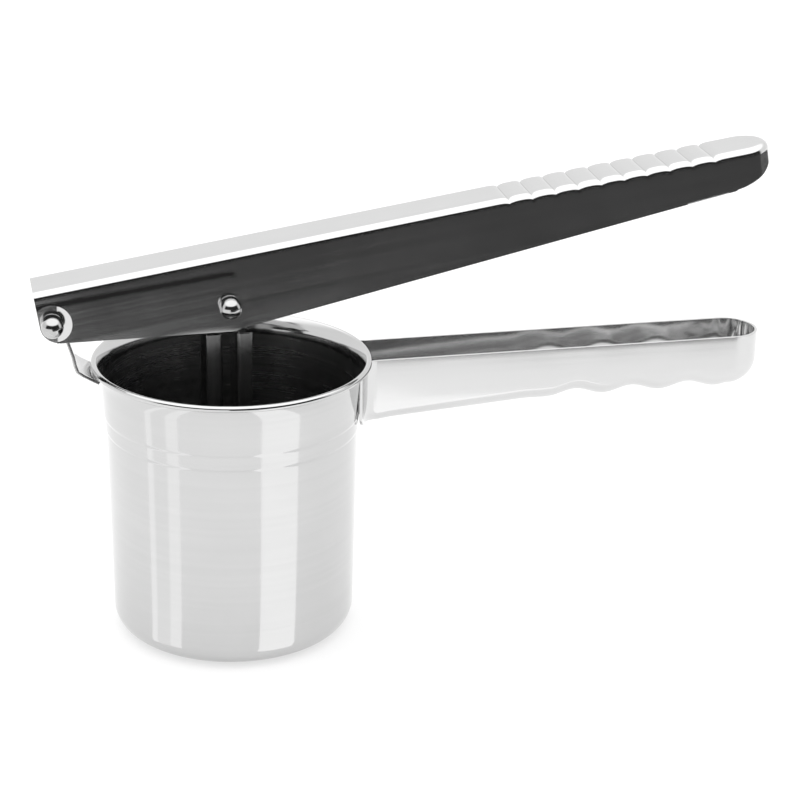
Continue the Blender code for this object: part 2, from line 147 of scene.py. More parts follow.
NOTCH_PITCH = 7.48 * MM
NOTCH_COUNT = 10
NOTCH_DEPTH = 0.6 * MM
NOTCH_SHARPNESS = 3.0
CREASE_DEPTH = 0.2 * MM
CREASE_HALF_WIDTH = 0.5 * MM
DIMPLE_R = 6.2 * MM
DIMPLE_DEPTH = 0.6 * MM
DIMPLE_SLOPE = math.tan(math.radians(8.0))

# The rivets, on axes along Y.
PLUNGER_PIN = Vector((-1.8 * MM, 0.0, LIP_Z + 21.1 * MM))
RIVET_SHANK_R = 1.75 * MM
RIVET_ROOM = 0.3 * MM
RIVET_HEAD_R = 3.4 * MM
RIVET_DOME_HEIGHT = 3.2 * MM
RIVET_TIP = 15.2 * MM
RIVET_CHAMFER = 0.3 * MM
RIVET_SEGMENTS = 64

# The hinge strap, welded to the cup and rolled into an eye around the pivot rivet.
STRAP_SHEET = 1.1 * MM
STRAP_HALF_WIDTH = 8.2 * MM
STRAP_FOOT_X = -(NECK_R + FIT + STRAP_SHEET / 2)
EYE_R = RIVET_SHANK_R + PIN_GAP + STRAP_SHEET / 2
EYE_START_DEG = 10.0
EYE_SWEEP_DEG = 285.0

# Its middle line from its foot to the eye: x, z and how much it wraps around the cup there.
STRAP_LINE = (
    (STRAP_FOOT_X - 1.2 * MM, LIP_Z - 2.6 * MM, 0.9),
    (STRAP_FOOT_X - 3.4 * MM, LIP_Z - 1.2 * MM, 0.6),
    (-47.4 * MM, LIP_Z + 0.2 * MM, 0.3),
    (-49.0 * MM, LIP_Z + 1.6 * MM, 0.0),
    (-49.7 * MM, LIP_Z + 3.8 * MM, 0.0),
    (-50.2 * MM, LIP_Z + 6.6 * MM, 0.0),
)

# The plunger: a strap looped over its rivet, with flanged legs, and a dished press disc.
STEM_SHEET = 1.0 * MM
STEM_HALF_WIDTH = 7.6 * MM
STEM_LOOP_R = RIVET_SHANK_R + PIN_GAP + STEM_SHEET / 2
STEM_FLANGE = 4.6 * MM
STEM_FLANGE_BEND_R = 0.9 * MM
STEM_FLANGE_TOP_Z = LIP_Z + 11.4 * MM
STEM_FLANGE_FOOT_Z = 9.2 * MM
STEM_FOOT = 9.0 * MM
STEM_FOOT_BEND_R = 2.0 * MM
DISC_SHEET = 1.2 * MM
DISC_R = 36.6 * MM
DISC_CORNER_R = 7.0 * MM
DISC_RIM_HEIGHT = 9.5 * MM
DISC_X = -1.0 * MM
DISC_BOTTOM_Z = 1.15 * MM

# The stage, in metres. Brightness is a multiple of plain white.
FLOOR_SIZE = 14.0
FLOOR_DROP = 0.2 * MM
FLOOR_ALBEDO = 0.42
FLOOR_GLOW = 0.6
CARD_HEIGHT = 0.6 * MM
DARK_NEAR_Y = -0.258  # the floor reflects dark from here forwards
DARK_FAR_Y = -0.7
STRIP_NEAR = 0.004
STRIP_FAR = 0.2
WORLD_WHITE = 1.05
WORLD_BRIGHT = 1.75
WORLD_DARK = 0.025

# The strips of floor that show as upright stripes in the cup's wall: where on the wall each one
# starts and ends, in degrees right of its middle, and its brightness.
STRIPS = {
    "right_strip": (15.5, 33.5, 1.42),
    "left_strip": (-28.5, -22.5, 1.34),
    "left_middle_strip": (-36.2, -28.5, 1.2),
    "left_thin_strip": (-39.5, -36.2, 1.36),
}


# Mesh helpers


def new_object(name, mesh, material=None):
    thing = bpy.data.objects.new(name, mesh)
    bpy.context.scene.collection.objects.link(thing)
    if material is not None:
        mesh.materials.append(material)
    return thing


def bake_modifiers(thing):
    """Turn the modifiers into plain mesh, shaded smooth between its sharp edges."""
    graph = bpy.context.evaluated_depsgraph_get()
    thing.data = bpy.data.meshes.new_from_object(thing.evaluated_get(graph))
    thing.modifiers.clear()
    thing.data.shade_smooth()
    thing.data.set_sharp_from_angle(angle=SHARP)
    return thing


def even_shading(thing):
    """Let the large faces set the normals, so that flat walls reflect as flat."""
    normals = thing.modifiers.new("even shading", "WEIGHTED_NORMAL")
    normals.keep_sharp = True
    normals.weight = 80


def add_screw(thing, segments):
    screw = thing.modifiers.new("turn", "SCREW")
    screw.axis = "Z"
    screw.angle = math.tau
    screw.steps = segments
    screw.render_steps = segments
    screw.use_merge_vertices = True
    screw.merge_threshold = WELD


def add_sheet(thing, thickness, offset=-1.0):
    """Give an open skin its thickness: inwards at offset -1, half to each side at 0."""
    solidify = thing.modifiers.new("sheet", "SOLIDIFY")
    solidify.thickness = thickness
    solidify.offset = offset
    solidify.use_even_offset = True


def add_mirror_y(thing):
    mirror = thing.modifiers.new("other side", "MIRROR")
    mirror.use_axis = (False, True, False)
    mirror.merge_threshold = WELD


def add_edge_round(thing, width):
    """Round the sheet's cut edges, so that they catch the light."""
    bevel = thing.modifiers.new("edge round", "BEVEL")
    bevel.width = width
    bevel.segments = 3
    bevel.limit_method = "ANGLE"
    bevel.angle_limit = math.radians(55.0)


def cut(thing, cutter):
    boolean = thing.modifiers.new("cut", "BOOLEAN")
    boolean.operation = "DIFFERENCE"
    boolean.solver = "EXACT"
    boolean.object = cutter


def arc(centre_x, centre_z, radius, start_deg, end_deg, steps):
    """Points on an arc in a plane, by the angle from +x towards +z."""
    points = []
    for i in range(steps + 1):
        angle = math.radians(start_deg + (end_deg - start_deg) * i / steps)
        points.append((centre_x + radius * math.cos(angle), centre_z + radius * math.sin(angle)))
    return points


def evenly(start, end, steps):
    """steps values from start up to, but without, end."""
    return [start + (end - start) * i / steps for i in range(steps)]


def smoothstep(value):
    value = min(max(value, 0.0), 1.0)
    return value * value * (3.0 - 2.0 * value)


def profile_mesh(name, points):
    """A chain of edges in the XZ plane, ready for a Screw modifier."""
    mesh = bpy.data.meshes.new(name)
    edges = [(i, i + 1) for i in range(len(points) - 1)]
    mesh.from_pydata([(x, 0.0, z) for x, z in points], edges, [])
    return mesh


def grid_mesh(name, rows, keep=None):
    """A skin over rows of points of equal length, without the faces that keep rejects."""
    shape = bmesh.new()
    made = [[shape.verts.new(point) for point in row] for row in rows]
    for i in range(len(rows) - 1):
        for j in range(len(rows[0]) - 1):
            if keep is None or keep(i, j):
                shape.faces.new((made[i][j], made[i][j + 1], made[i + 1][j + 1], made[i + 1][j]))
    bmesh.ops.remove_doubles(shape, verts=shape.verts, dist=WELD)
    loose = [vertex for vertex in shape.verts if not vertex.link_faces]
    bmesh.ops.delete(shape, geom=loose, context="VERTS")
    mesh = bpy.data.meshes.new(name)
    shape.to_mesh(mesh)
    shape.free()
    return mesh


def lathe(name, points, segments, material=None):
    """A profile turned about the Z axis."""
    thing = new_object(name, profile_mesh(name, points), material)
    add_screw(thing, segments)
    return bake_modifiers(thing)


def turn_to_y(thing, place):
    """Lay a lathed piece's Z axis along Y, through place, by moving its vertices."""
    thing.data.transform(Matrix.Translation(place) @ Matrix.Rotation(math.radians(90.0), 4, "X"))
    return thing


def discard(*things):
    for thing in things:
        bpy.data.objects.remove(thing, do_unlink=True)


# Materials


def new_material(name):
    material = bpy.data.materials.new(name)
    material.use_nodes = True
    return material, material.node_tree.nodes, material.node_tree.links


def grey(value):
    return (value, value, value)


def steel(name, colour, rough, streak_scale, tilt=0.0, wobble=0.012 * MM, streak_depth=0.0007 * MM):
    """Stainless steel, with polishing streaks, faint smudges and the slight waviness of pressed sheet.

    rough is the lowest and highest roughness, and streak_scale how fine the streaks are along each
    axis, after a turn about Y by tilt. wobble and streak_depth are bump heights.
    """
    material, nodes, links = new_material(name)
    shader = nodes["Principled BSDF"]
    shader.inputs["Metallic"].default_value = 1.0
    place = nodes.new("ShaderNodeTexCoord")
    turn = nodes.new("ShaderNodeMapping")
    turn.inputs["Rotation"].default_value = (0.0, tilt, 0.0)
    stretch = nodes.new("ShaderNodeMapping")
    stretch.inputs["Scale"].default_value = streak_scale
    links.new(place.outputs["Object"], turn.inputs["Vector"])
    links.new(turn.outputs["Vector"], stretch.inputs["Vector"])

    streaks = nodes.new("ShaderNodeTexNoise")
    streaks.inputs["Scale"].default_value = 1.0
    streaks.inputs["Detail"].default_value = 5.0
    streaks.inputs["Roughness"].default_value = 0.65
    links.new(stretch.outputs["Vector"], streaks.inputs["Vector"])

    smudges = nodes.new("ShaderNodeTexNoise")
    smudges.inputs["Scale"].default_value = 55.0
    smudges.inputs["Detail"].default_value = 3.0
    links.new(place.outputs["Object"], smudges.inputs["Vector"])

    blend = nodes.new("ShaderNodeMix")
    blend.data_type = "FLOAT"
    blend.inputs["Factor"].default_value = 0.4
    links.new(streaks.outputs["Fac"], blend.inputs["A"])
    links.new(smudges.outputs["Fac"], blend.inputs["B"])

    roughness = nodes.new("ShaderNodeMapRange")
    roughness.inputs["From Min"].default_value = 0.35
    roughness.inputs["From Max"].default_value = 0.65
    roughness.inputs["To Min"].default_value = rough[0]
    roughness.inputs["To Max"].default_value = rough[1]
    links.new(blend.outputs["Result"], roughness.inputs["Value"])
    links.new(roughness.outputs["Result"], shader.inputs["Roughness"])

    tint = nodes.new("ShaderNodeValToRGB")
    tint.color_ramp.elements[0].position = 0.3
    tint.color_ramp.elements[0].color = (*[c * 0.94 for c in colour], 1.0)
    tint.color_ramp.elements[1].position = 0.7
    tint.color_ramp.elements[1].color = (*colour, 1.0)
    links.new(blend.outputs["Result"], tint.inputs["Fac"])
    links.new(tint.outputs["Color"], shader.inputs["Base Color"])

    waves = nodes.new("ShaderNodeTexNoise")
    waves.inputs["Scale"].default_value = 28.0
    waves.inputs["Detail"].default_value = 1.0
    links.new(place.outputs["Object"], waves.inputs["Vector"])
    sheet_bump = nodes.new("ShaderNodeBump")
    sheet_bump.inputs["Strength"].default_value = 1.0
    sheet_bump.inputs["Distance"].default_value = wobble
    links.new(waves.outputs["Fac"], sheet_bump.inputs["Height"])
    streak_bump = nodes.new("ShaderNodeBump")
    streak_bump.inputs["Strength"].default_value = 1.0
    streak_bump.inputs["Distance"].default_value = streak_depth
    links.new(streaks.outputs["Fac"], streak_bump.inputs["Height"])
    links.new(sheet_bump.outputs["Normal"], streak_bump.inputs["Normal"])
    links.new(streak_bump.outputs["Normal"], shader.inputs["Normal"])
    return material


def glow(name, strength):
    """An even light of that brightness, for the cards that only reflections see."""
    material, nodes, links = new_material(name)
    nodes.remove(nodes["Principled BSDF"])
    light = nodes.new("ShaderNodeEmission")
    light.inputs["Strength"].default_value = strength
    links.new(light.outputs["Emission"], nodes["Material Output"].inputs["Surface"])
    return material


# The cup


def cup_outer_points():
    """The outer surface's profile from the centre of the base up to the bead."""
    flare, flare_r, _ = flare_shape()
    corner_x = FOOT_R - BASE_CORNER_R
    points = [(0.0, 0.0), (corner_x * BASE_FLAT_SHARE, 0.0)]
    points += arc(corner_x, BASE_CORNER_R, BASE_CORNER_R, -90.0, 0.0, 18)
    steps = 10
    for i in range(1, steps + 1):
        share = i / steps
        z = BASE_CORNER_R + (STEP_FOOT_Z - STEP_DROP_HEIGHT - BASE_CORNER_R) * share
        points.append((wall_radius(z), z))
    low = STEP_FOOT_Z - STEP_DROP_HEIGHT
    high = STEP_TOP_Z + STEP_DROP_HEIGHT
    steps = 40
    for i in range(1, steps + 1):
        z = low + (high - low) * i / steps
        points.append((wall_radius(z), z))
    steps = 4
    for i in range(1, steps):
        z = high + (NECK_Z - high) * i / steps
        points.append((wall_radius(z), z))
    end = 180.0 - math.degrees(flare) + bead_overlap_deg()
    points += arc(NECK_R + flare_r, NECK_Z, flare_r, 180.0, end, 10)
    return points


def wall_radius(z):
    """The cup's outer radius at z, with a soft drop at the top and at the foot of its step."""
    upper = STEP_TOP_R + (NECK_R - STEP_TOP_R) * max(z - STEP_TOP_Z, 0.0) / (NECK_Z - STEP_TOP_Z)
    ledge = min(max((z - STEP_FOOT_Z) / (STEP_TOP_Z - STEP_FOOT_Z), 0.0), 1.0)
    middle = STEP_FOOT_R + STEP_DROP + (STEP_TOP_R - STEP_FOOT_R - 2.0 * STEP_DROP) * ledge
    share = max(z - BASE_CORNER_R, 0.0) / (STEP_FOOT_Z - BASE_CORNER_R)
    lower = FOOT_R + (STEP_FOOT_R - FOOT_R) * min(share, 1.0)
    above = smoothstep((z - STEP_TOP_Z) / STEP_DROP_HEIGHT + 0.5)
    below = smoothstep((STEP_FOOT_Z - z) / STEP_DROP_HEIGHT + 0.5)
    return middle + (upper - middle) * above + (lower - middle) * below


def flare_shape():
    """The rim's flare angle, its radius and the bead's centre (x, z)."""
    rise = LIP_Z - NECK_Z
    reach = LIP_R - BEAD_R - NECK_R - (BEAD_R - CUP_SHEET)
    flare = 2.0 * math.atan(reach / rise)
    flare_r = rise / math.sin(flare) + BEAD_R - CUP_SHEET
    return flare, flare_r, (LIP_R - BEAD_R, LIP_Z)


def bead_overlap_deg():
    """How much of the flare's outer arc the bead covers."""
    _, flare_r, _ = flare_shape()
    to_bead = flare_r - BEAD_R + CUP_SHEET
    cosine = (flare_r**2 + to_bead**2 - BEAD_R**2) / (2.0 * flare_r * to_bead)
    return math.degrees(math.acos(cosine))


def cup_profile():
    """The whole section: the outer surface, the bead and the inner surface."""
    flare, flare_r, bead = flare_shape()
    outer = cup_outer_points()
    last = outer[-1]
    bead_start = math.degrees(math.atan2(last[1] - bead[1], last[0] - bead[0]))
    around = arc(bead[0], bead[1], BEAD_R, bead_start, 180.0 - math.degrees(flare), 24)[1:]
    inner = arc(NECK_R + flare_r, NECK_Z, flare_r + CUP_SHEET, 180.0 - math.degrees(flare), 180.0, 12)[1:]
    ledge_z = STEP_FOOT_Z - STEP_DROP_HEIGHT
    wall = []
    for z in evenly(NECK_Z, ledge_z, 4)[1:]:
        share = (z - ledge_z) / (NECK_Z - ledge_z)
        wall.append((STEP_FOOT_R + (NECK_R - STEP_FOOT_R) * share - CUP_SHEET, z))
    for z in evenly(ledge_z, BASE_CORNER_R, 8):
        share = (z - BASE_CORNER_R) / (ledge_z - BASE_CORNER_R)
        wall.append((FOOT_R + (STEP_FOOT_R - FOOT_R) * share - CUP_SHEET, z))
    corner = FOOT_R - BASE_CORNER_R
    floor = arc(corner, BASE_CORNER_R, BASE_CORNER_R - CUP_SHEET, 0.0, -90.0, 18)
    floor += [(corner * BASE_FLAT_SHARE, CUP_SHEET), (0.0, CUP_SHEET)]
    return outer + around + inner + wall + floor


def hole_centres():
    """Triangular grid points inside the perforated field, with the origin between three of them."""
    centres = []
    reach = int(HOLE_FIELD_R / HOLE_PITCH) + 2
    for row in range(-reach, reach + 1):
        for column in range(-reach, reach + 1):
            x = (row * math.sqrt(3.0) / 2.0 + math.sqrt(3.0) / 6.0) * HOLE_PITCH
            y = (column + row / 2.0 + 0.5) * HOLE_PITCH
            if math.hypot(x, y) <= HOLE_FIELD_R:
                centres.append((x, y))
    return centres


def hole_cutter():
    """All the holes' pins as one mesh."""
    shape = bmesh.new()
    for x, y in hole_centres():
        made = bmesh.ops.create_cone(
            shape,
            cap_ends=True,
            segments=HOLE_SIDES,
            radius1=HOLE_R,
            radius2=HOLE_R,
            depth=HOLE_CUTTER_LENGTH,
        )
        bmesh.ops.translate(shape, verts=made["verts"], vec=(x, y, 0.0))
    mesh = bpy.data.meshes.new("base_holes")
    shape.to_mesh(mesh)
    shape.free()
    return new_object("base_holes", mesh)


def make_cup(outside, inside):
    cup = lathe("cup_polished", cup_profile(), CUP_SEGMENTS, outside)
    holes = hole_cutter()
    cut(cup, holes)
    bake_modifiers(cup)
    discard(holes)
    # The inward faces below the neck and the base's floor get the inside material, whose darker grey is
    # painted shade of the cup's hollow.
    cup.data.materials.append(inside)
    for face in cup.data.polygons:
        centre = face.center
        radius = math.hypot(centre.x, centre.y)
        inwards = centre.x * face.normal.x + centre.y * face.normal.y < 0.0
        on_floor = face.normal.z > 0.5 and centre.z < BASE_CORNER_R
        if centre.z < NECK_Z and radius < STEP_TOP_R and (inwards or on_floor):
            face.material_index = 1
    even_shading(cup)
    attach(cup, "frame")
    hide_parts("cup")


def cup_room():
    """The cup as a solid block, which trims what is welded to its outside."""
    top_z = LIP_Z + ROOM_ABOVE_LIP
    points = [(0.0, top_z), (LIP_R, top_z)]
    points += [(r + FIT, z) for r, z in reversed(cup_outer_points()) if r > 0.0] + [(0.0, -FIT)]
    return lathe("cup_room", points, CUP_SEGMENTS)


# The fixed handle


def handle_depth(x):
    """How deep the trough is at x, with the finger valleys."""
    plain = HANDLE_ROOT_DEPTH - HANDLE_DEPTH_TAPER * (x - NECK_R)
    grip_x = max(x, HANDLE_GRIP_X)
    wave = math.cos(math.tau * (grip_x - VALLEY_FIRST_X) / VALLEY_PITCH)
    grip = HANDLE_GRIP_DEPTH - VALLEY_RISE * wave - HANDLE_GRIP_TAPER * (grip_x - HANDLE_GRIP_X)
    if x >= HANDLE_GRIP_X:
        return grip
    meet = HANDLE_ROOT_DEPTH - HANDLE_DEPTH_TAPER * (HANDLE_GRIP_X - NECK_R)
    return plain + (grip - meet) * smoothstep(1.0 - (HANDLE_GRIP_X - x) / HANDLE_GRIP_EASE)


def trough_section(x, half_width, corner_r):
    """(outward distance, z) from the middle of the floor to the top of the wall."""
    top = HANDLE_TOP_Z + HANDLE_TOP_SLOPE * x
    floor = HANDLE_TOP_Z - handle_depth(min(x, HANDLE_END_X - HANDLE_LEVEL_END))
    section = [(distance, floor) for distance in evenly(0.0, half_width - corner_r, 4)]
    section += arc(half_width - corner_r, floor + corner_r, corner_r, -90.0, 0.0, 12)
    section += [(half_width, z) for z in evenly(floor + corner_r, top, 6)[1:]] + [(half_width, top)]
    return section


def section_turns(section, half_width, corner_r):
    """For each section point, the direction square to the wall there: 0 down, 90 degrees sideways."""
    turns = []
    floor = section[0][1]
    for distance, z in section:
        along_x = max(0.0, distance - (half_width - corner_r))
        along_z = max(0.0, floor + corner_r - z)
        turns.append(math.atan2(along_x, along_z) if along_x > 0.0 else 0.0)
    return turns


def flare_rows():
    """The trough's root, which turns outwards and lies on the cup like a saddle."""
    rows = []
    root_x = NECK_R + FIT + HANDLE_SHEET
    section = trough_section(root_x, HANDLE_HALF_WIDTH, HANDLE_CORNER_R)
    turns = section_turns(section, HANDLE_HALF_WIDTH, HANDLE_CORNER_R)
    steps = 10
    stages = [(HANDLE_FLARE_R + HANDLE_FLANGE, 0.0), (HANDLE_FLARE_R + HANDLE_FLANGE / 2, 0.0)]
    for i in range(steps, -1, -1):
        angle = math.radians(90.0 * i / steps)
        stages.append((HANDLE_FLARE_R * (1.0 - math.cos(angle)), HANDLE_FLARE_R * (1.0 - math.sin(angle))))
    for outward, away in stages:
        row = []
        for (distance, z), turn in zip(section, turns):
            y = distance + outward * math.sin(turn)
            low_z = z - HANDLE_FLARE_BELOW * outward * math.cos(turn)
            row.append((math.sqrt(root_x**2 - y**2) + away, -y, low_z))
        rows.append(row)
    return rows


def handle_rows():
    """Rows across half of the trough, from the saddle on the cup to the middle of the closed end."""
    rows = flare_rows()
    grip_end = HANDLE_END_X - HANDLE_HALF_WIDTH
    straight = HANDLE_GRIP_X - HANDLE_GRIP_EASE
    stations = evenly(HANDLE_STRAIGHT_X, straight, 10) + evenly(straight, grip_end, 90)
    for x in stations:
        section = trough_section(x, HANDLE_HALF_WIDTH, HANDLE_CORNER_R)
        rows.append([(x, -distance, z) for distance, z in section])
    end_steps = 20
    for i in range(end_steps + 1):
        turn = math.radians(90.0 * i / end_steps)
        corner_r = HANDLE_CORNER_R + (HANDLE_END_CORNER_R - HANDLE_CORNER_R) * math.sin(turn)
        section = trough_section(grip_end, HANDLE_HALF_WIDTH, corner_r)
        row = []
        for distance, z in section:
            row.append((grip_end + distance * math.sin(turn), -distance * math.cos(turn), z))
        rows.append(row)
    return rows


def make_lower_handle(material, room):
    rows = [list(reversed(row)) for row in handle_rows()]  # which turns the faces outwards
    handle = new_object("lower_handle_pressed", grid_mesh("lower_handle_pressed", rows), material)
    add_mirror_y(handle)
    add_sheet(handle, HANDLE_SHEET)
    add_edge_round(handle, EDGE_ROUND)
    bake_modifiers(handle)
    cut(handle, room)
    bake_modifiers(handle)
    even_shading(handle)
    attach(handle, "frame")
    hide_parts("lower_handle")


# The lever


def lever_wall_depth(x):
    """How far the side wall hangs below the lever's flat top at x."""
    if x < LEVER_BEND:
        depth = LEVER_FRONT_DEPTH + (LEVER_BEND_DEPTH - LEVER_FRONT_DEPTH) * x / LEVER_BEND
        into_corner = max(0.0, LEVER_FRONT + LEVER_FRONT_CORNER_R - x)
        rise = LEVER_FRONT_CORNER_R - math.sqrt(max(0.0, LEVER_FRONT_CORNER_R**2 - into_corner**2))
        return depth - rise
    end_centre = LEVER_END - LEVER_HALF_WIDTH
    share = (x - LEVER_BEND) / (end_centre - LEVER_BEND)
    straight = LEVER_BEND_DEPTH + (LEVER_END_DEPTH - LEVER_BEND_DEPTH) * share
    into_curve = x - (end_centre - LEVER_END_CURVE)
    return min(straight, lever_end_depth(into_curve)) if into_curve > 0.0 else straight


def lever_end_depth(along):
    """The wall's depth around the closed end, by the distance along the wall into its rising curve."""
    whole = LEVER_END_CURVE + LEVER_HALF_WIDTH * math.radians(90.0)
    return LEVER_END_DEPTH + (LEVER_NOSE_DEPTH - LEVER_END_DEPTH) * (along / whole) ** LEVER_END_BEND


def notch_at(x):
    """How far the grip notches lower the top at x: crowns with a crease between them."""
    nearest = min(max(round((x - NOTCH_FIRST) / NOTCH_PITCH), 0), NOTCH_COUNT - 1)
    away = abs(x - NOTCH_FIRST - nearest * NOTCH_PITCH)
    valley = NOTCH_DEPTH * max(0.0, 1.0 - away / (NOTCH_PITCH / 2)) ** NOTCH_SHARPNESS
    return valley + CREASE_DEPTH * max(0.0, 1.0 - away / CREASE_HALF_WIDTH)


def panel_rise(x, depth):
    """How far the embossed side panel stands out at x and that depth below the top."""
    share = min(max(x / PANEL_END, 0.0), 1.0)
    top = PANEL_FRONT_DEPTH + (PANEL_END_DEPTH - PANEL_FRONT_DEPTH) * share
    from_end = PANEL_END - x
    from_top = depth - top
    inside = min(from_end, from_top)
    if from_end < PANEL_CORNER_R and from_top < PANEL_CORNER_R:
        inside = PANEL_CORNER_R - math.hypot(PANEL_CORNER_R - from_end, PANEL_CORNER_R - from_top)
    return PANEL_SHOWN_RISE * smoothstep(inside / PANEL_BEVEL)


def lever_section(x, wall_depth):
    """(outward distance, z) from the middle of the top to the foot of the wall."""
    notch = notch_at(x)
    flat = LEVER_HALF_WIDTH - LEVER_CORNER_R
    section = [(distance, LEVER_TOP - notch) for distance in evenly(0.0, flat, 4)]
    for distance, z in arc(flat, LEVER_TOP - LEVER_CORNER_R, LEVER_CORNER_R, 90.0, 0.0, 14):
        section.append((distance, z - notch))
    even_depth = min(LEVER_EVEN_DEPTH, LEVER_CORNER_R + LEVER_EVEN_SHARE * (wall_depth - LEVER_CORNER_R))
    depths = evenly(LEVER_CORNER_R, even_depth, 20)[1:]
    depths += evenly(even_depth, wall_depth, 6) + [wall_depth]
    for depth in depths:
        lowered = notch * max(0.0, 1.0 - (depth - LEVER_CORNER_R) / LEVER_CORNER_R)
        section.append((LEVER_HALF_WIDTH + panel_rise(x, depth), LEVER_TOP - depth - lowered))
    return section


def lever_stations():
    """x along the straight part, closest together where the shape changes."""
    stations = []
    steps = 12
    for i in range(steps + 1):
        turn = math.radians(90.0 * i / steps)
        stations.append(LEVER_FRONT + LEVER_FRONT_CORNER_R * (1.0 - math.cos(turn)))
    panel_start = PANEL_END - PANEL_CORNER_R
    panel_stop = PANEL_END + PANEL_MARGIN
    notch_start = NOTCH_FIRST - NOTCH_PITCH / 2
    notch_stop = notch_start + NOTCH_COUNT * NOTCH_PITCH
    steps_per_notch = 16
    stations += evenly(stations[-1], LEVER_BEND, 26)[1:]
    stations += evenly(LEVER_BEND, panel_start, 4)
    stations += evenly(panel_start, panel_stop, 16)
    stations += evenly(panel_stop, notch_start, 16)
    stations += evenly(notch_start, notch_stop, NOTCH_COUNT * steps_per_notch)
    stations += evenly(notch_stop, LEVER_END - LEVER_HALF_WIDTH, 10)
    return stations


def lever_rows():
    """Rows across half of the lever, from its open front to the middle of its closed end."""
    rows = []
    for x in lever_stations():
        rows.append([(x, -distance, z) for distance, z in lever_section(x, lever_wall_depth(x))])
    end_centre = LEVER_END - LEVER_HALF_WIDTH
    end_steps = 24
    for i in range(end_steps + 1):
        turn = math.radians(90.0 * i / end_steps)
        depth = lever_end_depth(LEVER_END_CURVE + LEVER_HALF_WIDTH * turn)
        row = []
        for distance, z in lever_section(end_centre, depth):
            row.append((end_centre + distance * math.sin(turn), -distance * math.cos(turn), z))
        rows.append(row)
    return rows


def lever_place():
    """From the lever's own frame to the model's."""
    return Matrix.Translation(PIVOT) @ Matrix.Rotation(-LEVER_TILT, 4, "Y")


def dimple_cutter(side):
    """Presses a round dimple into one side of the lever, deepest at its front."""
    face = LEVER_HALF_WIDTH + PANEL_SHOWN_RISE
    segments = 96
    steps = 12
    rings = [(DIMPLE_R * i / steps, 0.0) for i in range(steps + 1)]
    rings += [(DIMPLE_R, face + PAST_SURFACE), (0.0, face + PAST_SURFACE)]
    rows = []
    for radius, height in rings:
        row = []
        for j in range(segments + 1):
            angle = -side * math.tau * j / segments
            x = radius * math.cos(angle)
            depth = min(max((DIMPLE_R - x) * DIMPLE_SLOPE, 0.0), DIMPLE_DEPTH)
            y = height if height > 0.0 else face - depth
            row.append((PIVOT.x + x, side * y, PIVOT.z + radius * math.sin(angle)))
        rows.append(row)
    return new_object("dimple_cutter", grid_mesh("dimple_cutter", rows))


def pin_cutter(place):
    """Cuts a rivet's hole through both walls of the lever."""
    hole = RIVET_SHANK_R + RIVET_ROOM
    reach = LEVER_HALF_WIDTH + PAST_SURFACE
    points = [(0.0, reach), (hole, reach), (hole, -reach), (0.0, -reach)]
    return turn_to_y(lathe("pin_cutter", points, RIVET_SEGMENTS), place)


def make_lever(material):
    lever = new_object("lever_pressed", grid_mesh("lever_pressed", lever_rows()), material)
    add_mirror_y(lever)
    add_sheet(lever, LEVER_SHEET)
    add_edge_round(lever, EDGE_ROUND)
    bake_modifiers(lever)
    lever.data.transform(lever_place())
    cutters = [dimple_cutter(-1.0), dimple_cutter(1.0), pin_cutter(PIVOT), pin_cutter(PLUNGER_PIN)]
    for cutter in cutters:
        cut(lever, cutter)
    bake_modifiers(lever)
    discard(*cutters)
    even_shading(lever)
    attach(lever, "lever")
    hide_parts("lever")


# The rivets


def make_rivet(name, node, place, seat, material):
    """A shank along Y with a domed head at each end. seat is how far out the heads start."""
    half = []
    steps = 14
    for i in range(steps + 1):
        angle = math.radians(90.0 - 90.0 * i / steps)
        height = RIVET_TIP - RIVET_DOME_HEIGHT + RIVET_DOME_HEIGHT * math.sin(angle)
        half.append((RIVET_HEAD_R * math.cos(angle), height))
    half += [(RIVET_HEAD_R, seat + RIVET_CHAMFER), (RIVET_HEAD_R - RIVET_CHAMFER, seat)]
    half.append((RIVET_SHANK_R, seat))
    points = half + [(radius, -height) for radius, height in reversed(half)]
    rivet = turn_to_y(lathe(name, points, RIVET_SEGMENTS, material), place)
    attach(rivet, "lever")
    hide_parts(node)


# The hinge strap


def strap_path():
    """The strap's whole middle line, with the eye around the rivet."""
    path = list(STRAP_LINE)
    for x, z in arc(PIVOT.x, PIVOT.z, EYE_R, EYE_START_DEG, EYE_START_DEG + EYE_SWEEP_DEG, 40):
        path.append((x, z, 0.0))
    return path


def make_hinge_strap(material, room):
    columns = 16
    rows = []
    for x, z, wrap in strap_path():
        row = []
        for j in range(columns + 1):
            y = STRAP_HALF_WIDTH * (2.0 * j / columns - 1.0)
            sag = NECK_R - math.sqrt(NECK_R**2 - y**2)
            row.append((x + wrap * sag, y, z))
        rows.append(row)
    strap = new_object("hinge_strap_rolled", grid_mesh("hinge_strap_rolled", rows), material)
    add_sheet(strap, STRAP_SHEET, 0.0)
    add_edge_round(strap, STRAP_EDGE_ROUND)
    bake_modifiers(strap)
    cut(strap, room)
    bake_modifiers(strap)
    even_shading(strap)
    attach(strap, "frame")
    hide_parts("hinge_strap")


# The plunger


def stem_path():
    """The stem's middle line from one foot, over the rivet, to the other foot."""
    floor_z = DISC_BOTTOM_Z + DISC_SHEET + WELD_GAP + STEM_SHEET / 2
    bend = STEM_FOOT_BEND_R
    left = PLUNGER_PIN.x - STEM_LOOP_R
    half = [(left - bend - STEM_FOOT, floor_z)]
    half += arc(left - bend, floor_z + bend, bend, -90.0, 0.0, 8)
    half += [(left, STEM_FLANGE_FOOT_Z), (left, LIP_Z / 2), (left, STEM_FLANGE_TOP_Z)]
    half += arc(PLUNGER_PIN.x, PLUNGER_PIN.z, STEM_LOOP_R, 180.0, 90.0, 12)
    other = [(2.0 * PLUNGER_PIN.x - x, z) for x, z in reversed(half[:-1])]
    return half + other


